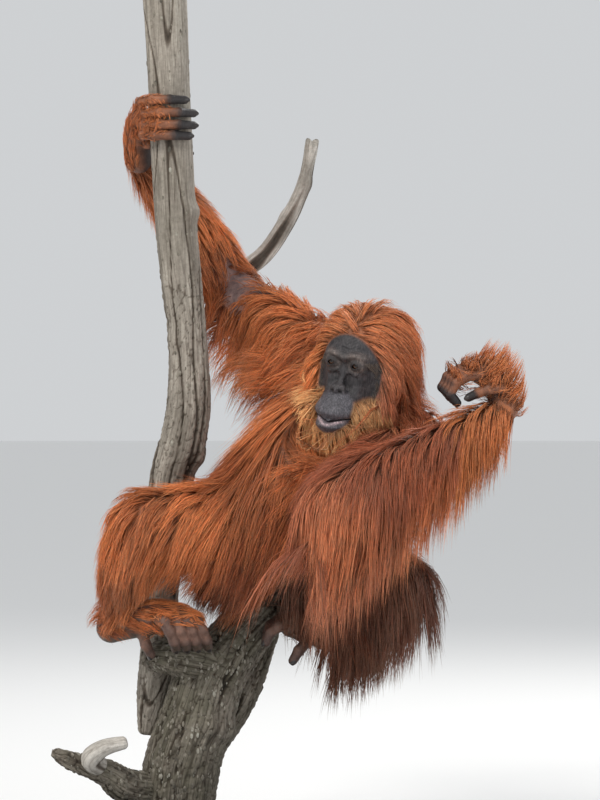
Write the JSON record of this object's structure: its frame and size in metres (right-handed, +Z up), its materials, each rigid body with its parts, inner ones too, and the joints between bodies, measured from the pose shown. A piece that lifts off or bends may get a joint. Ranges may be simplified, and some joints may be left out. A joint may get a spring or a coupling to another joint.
{
  "type": "orangutan museum model",
  "caption": "Long-haired red ape at rest astride a broken bough, one arm raised to hold the upright pole, on a flat display base with short rods.",
  "frame": {"origin": "centre of the underside of the display base", "axes": "+Z up; +Y away from the viewer; the animal faces -Y and a little to -X"},
  "size_m": [0.8186, 0.7468, 1.4947],
  "materials": {
    "coat": "long rust-red hair",
    "hide": "dark wrinkled bare skin",
    "nail": "dark smooth nail",
    "eye": "wet dark brown",
    "bark": "weathered grey wood with rough bark",
    "stand": "satin dark paint"
  },
  "bodies": {
    "root": {"head": "coat", "neck": "coat", "torso": "coat", "upper_arm_right": "coat", "upper_arm_left": "coat", "forearm_right": "coat", "forearm_left": "coat", "thigh_right": "coat", "thigh_left": "coat", "shin_right": "coat", "shin_left": "coat", "hand_right": "hide", "hand_left": "hide", "foot_right": "hide", "foot_left": "hide", "ear_right": "hide", "eye_right": "eye", "ear_left": "hide", "eye_left": "eye", "nail_hand_right_1": "nail", "nail_hand_right_2": "nail", "nail_hand_right_3": "nail", "nail_hand_right_4": "nail", "nail_hand_right_5": "nail", "nail_hand_left_1": "nail", "nail_hand_left_2": "nail", "nail_hand_left_3": "nail", "nail_hand_left_4": "nail", "nail_hand_left_5": "nail", "nail_foot_right_1": "nail", "nail_foot_right_2": "nail", "nail_foot_right_3": "nail", "nail_foot_right_4": "nail", "nail_foot_right_5": "nail", "nail_foot_left_1": "nail", "nail_foot_left_2": "nail", "nail_foot_left_3": "nail", "nail_foot_left_4": "nail", "nail_foot_left_5": "nail", "perch_pole": "bark", "perch_bough": "bark", "perch_side_branch": "bark", "perch_burl": "bark", "perch_low_stub": "bark", "perch_short_log": "bark", "perch_back_branch": "bark", "stand_base": "stand", "stand_rod_1": "stand", "stand_rod_2": "stand"}
  },
  "joints": []
}
